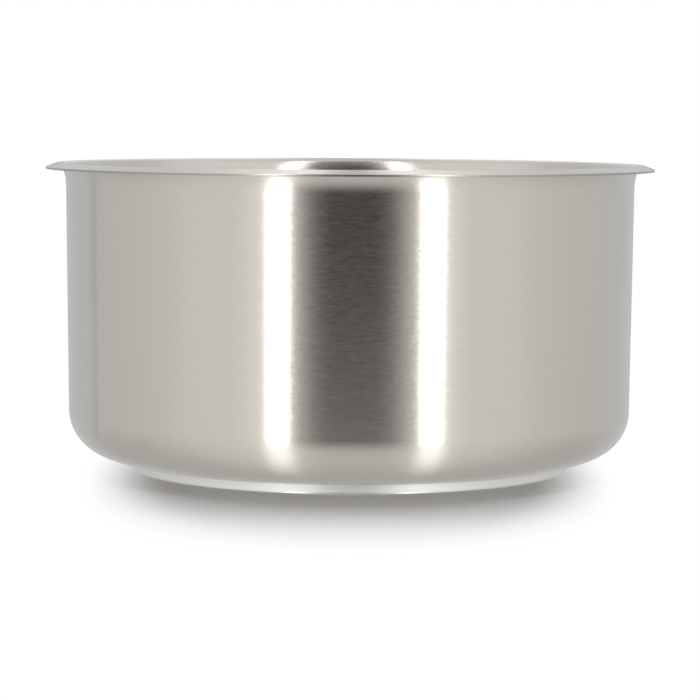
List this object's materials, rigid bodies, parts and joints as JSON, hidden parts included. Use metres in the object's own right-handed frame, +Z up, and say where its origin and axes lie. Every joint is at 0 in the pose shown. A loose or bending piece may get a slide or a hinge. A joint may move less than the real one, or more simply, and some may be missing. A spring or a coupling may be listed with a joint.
{
  "type": "soup pot",
  "caption": "Round soup pot without handles: brushed stainless steel wall with a rounded foot, a thin turned-over pouring lip and a bonded aluminium heat-spreading base.",
  "frame": {"origin": "centre of the base's underside, on the surface the pot stands on", "axes": "+Z up along the pot's axis; the pot is round, so X and Y are alike and the picture looks along +Y"},
  "size_m": [0.2569, 0.257, 0.1286],
  "materials": {
    "shell_steel": "stainless steel with fine brush lines round the pot, satin inside",
    "core_aluminium": "bare turned aluminium edge, matte",
    "plate_steel": "magnetic stainless steel, turned in fine rings"
  },
  "bodies": {
    "root": {"pot_shell": "shell_steel", "heat_spreader": "core_aluminium", "induction_plate": "plate_steel"}
  },
  "joints": []
}
